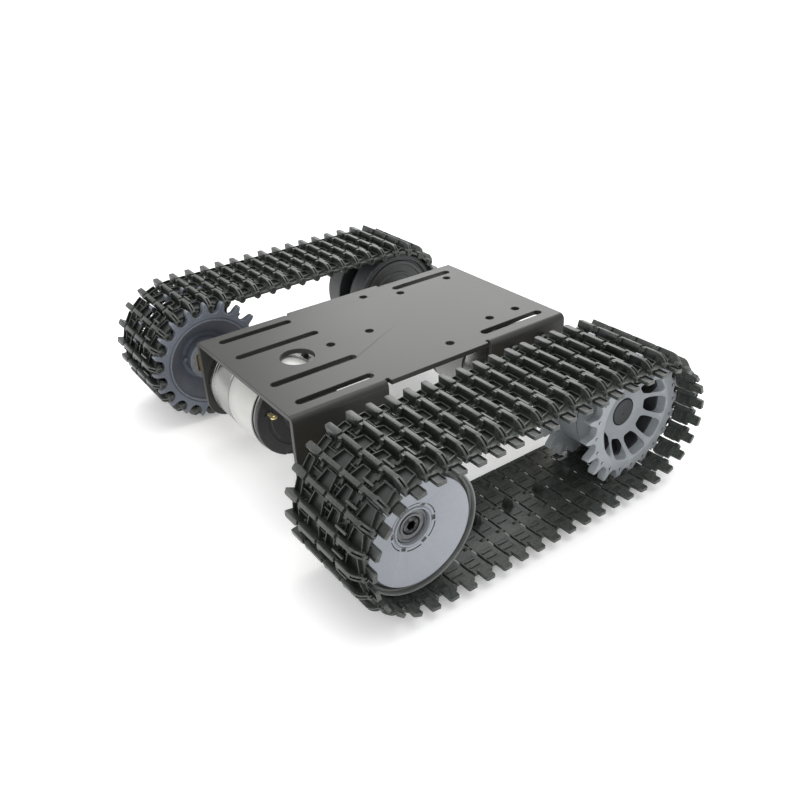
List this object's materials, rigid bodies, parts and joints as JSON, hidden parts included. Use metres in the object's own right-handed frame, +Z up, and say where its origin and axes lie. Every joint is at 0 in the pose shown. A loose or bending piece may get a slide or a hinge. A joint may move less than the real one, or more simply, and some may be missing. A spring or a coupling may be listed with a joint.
{
  "type": "tracked tank chassis",
  "caption": "Small robot chassis: bent sheet deck, diagonally placed gear motors driving toothed sprockets, smooth idlers opposite, and a linked belt round each side.",
  "frame": {"origin": "on the ground under the middle of the chassis: bottom centre of the bounding box", "axes": "+X forward, the end of the deck with the round wire hole; +Y to the vehicle's left; +Z up; the wheels turn about lines parallel to Y"},
  "size_m": [0.1562, 0.1994, 0.0549],
  "materials": {
    "deck_sheet": "satin bronze-grey sheet with bright sheared edges",
    "gearbox_steel": "satin turned",
    "motor_steel": "satin",
    "paper_label": "blank paper-white wrap",
    "cap_plastic": "moulded",
    "terminal_brass": "stamped",
    "black_screw": "black oxide",
    "shaft_steel": "ground",
    "coupling_brass": "turned",
    "sprocket_light": "moulded light grey",
    "sprocket_blue": "moulded blue-grey",
    "idler_light": "moulded light blue-grey",
    "idler_dark": "moulded dark grey",
    "bearing_steel": "ground",
    "belt_plastic": "moulded black, grey-green sheen"
  },
  "bodies": {
    "chassis": {"deck_plate": "deck_sheet", "gearbox_plate_rear_left": "gearbox_steel", "gearbox_rear_left": "gearbox_steel", "motor_can_rear_left": "motor_steel", "motor_label_rear_left": "paper_label", "motor_cap_rear_left": "cap_plastic", "motor_terminal_a_rear_left": "terminal_brass", "motor_terminal_b_rear_left": "terminal_brass", "motor_screw_1_rear_left": "black_screw", "motor_screw_2_rear_left": "black_screw", "motor_screw_3_rear_left": "black_screw", "motor_screw_4_rear_left": "black_screw", "gearbox_plate_front_right": "gearbox_steel", "gearbox_front_right": "gearbox_steel", "motor_can_front_right": "motor_steel", "motor_label_front_right": "paper_label", "motor_cap_front_right": "cap_plastic", "motor_terminal_a_front_right": "terminal_brass", "motor_terminal_b_front_right": "terminal_brass", "motor_screw_1_front_right": "black_screw", "motor_screw_2_front_right": "black_screw", "motor_screw_3_front_right": "black_screw", "motor_screw_4_front_right": "black_screw", "idler_axle_front_left": "black_screw", "idler_spacer_front_left": "coupling_brass", "idler_washer_front_left": "shaft_steel", "idler_nut_front_left": "shaft_steel", "idler_axle_rear_right": "black_screw", "idler_spacer_rear_right": "coupling_brass", "idler_washer_rear_right": "shaft_steel", "idler_nut_rear_right": "shaft_steel", "track_left": "belt_plastic", "track_right": "belt_plastic"},
    "sprocket_rear_left": {"output_shaft_rear_left": "shaft_steel", "hub_coupling_rear_left": "coupling_brass", "set_screw_rear_left": "black_screw", "sprocket_inner_rear_left": "sprocket_light", "sprocket_outer_rear_left": "sprocket_light", "sprocket_cap_rear_left": "cap_plastic"},
    "sprocket_front_right": {"output_shaft_front_right": "shaft_steel", "hub_coupling_front_right": "coupling_brass", "set_screw_front_right": "black_screw", "sprocket_inner_front_right": "sprocket_blue", "sprocket_outer_front_right": "sprocket_blue", "sprocket_cap_front_right": "cap_plastic"},
    "idler_front_left": {"idler_outer_front_left": "idler_light", "idler_inner_front_left": "idler_light", "idler_bearing_out_front_left": "bearing_steel", "idler_bearing_in_front_left": "bearing_steel"},
    "idler_rear_right": {"idler_outer_rear_right": "idler_dark", "idler_inner_rear_right": "idler_dark", "idler_bearing_out_rear_right": "bearing_steel", "idler_bearing_in_rear_right": "bearing_steel"}
  },
  "joints": [
    {"name": "sprocket_rear_left_spin", "type": "hinge", "parent": "chassis", "child": "sprocket_rear_left", "pos_m": [-0.05063, 0, 0.02747], "axis": [0, 1, 0], "continuous": true},
    {"name": "idler_front_left_spin", "type": "hinge", "parent": "chassis", "child": "idler_front_left", "pos_m": [0.05063, 0, 0.02747], "axis": [0, 1, 0], "continuous": true},
    {"name": "sprocket_front_right_spin", "type": "hinge", "parent": "chassis", "child": "sprocket_front_right", "pos_m": [0.05063, 0, 0.02747], "axis": [0, 1, 0], "continuous": true},
    {"name": "idler_rear_right_spin", "type": "hinge", "parent": "chassis", "child": "idler_rear_right", "pos_m": [-0.05063, 0, 0.02747], "axis": [0, 1, 0], "continuous": true}
  ],
  "couplings": [
    {"joint": "idler_front_left_spin", "follows": "sprocket_rear_left_spin", "ratio": 1},
    {"joint": "idler_rear_right_spin", "follows": "sprocket_front_right_spin", "ratio": 1}
  ]
}
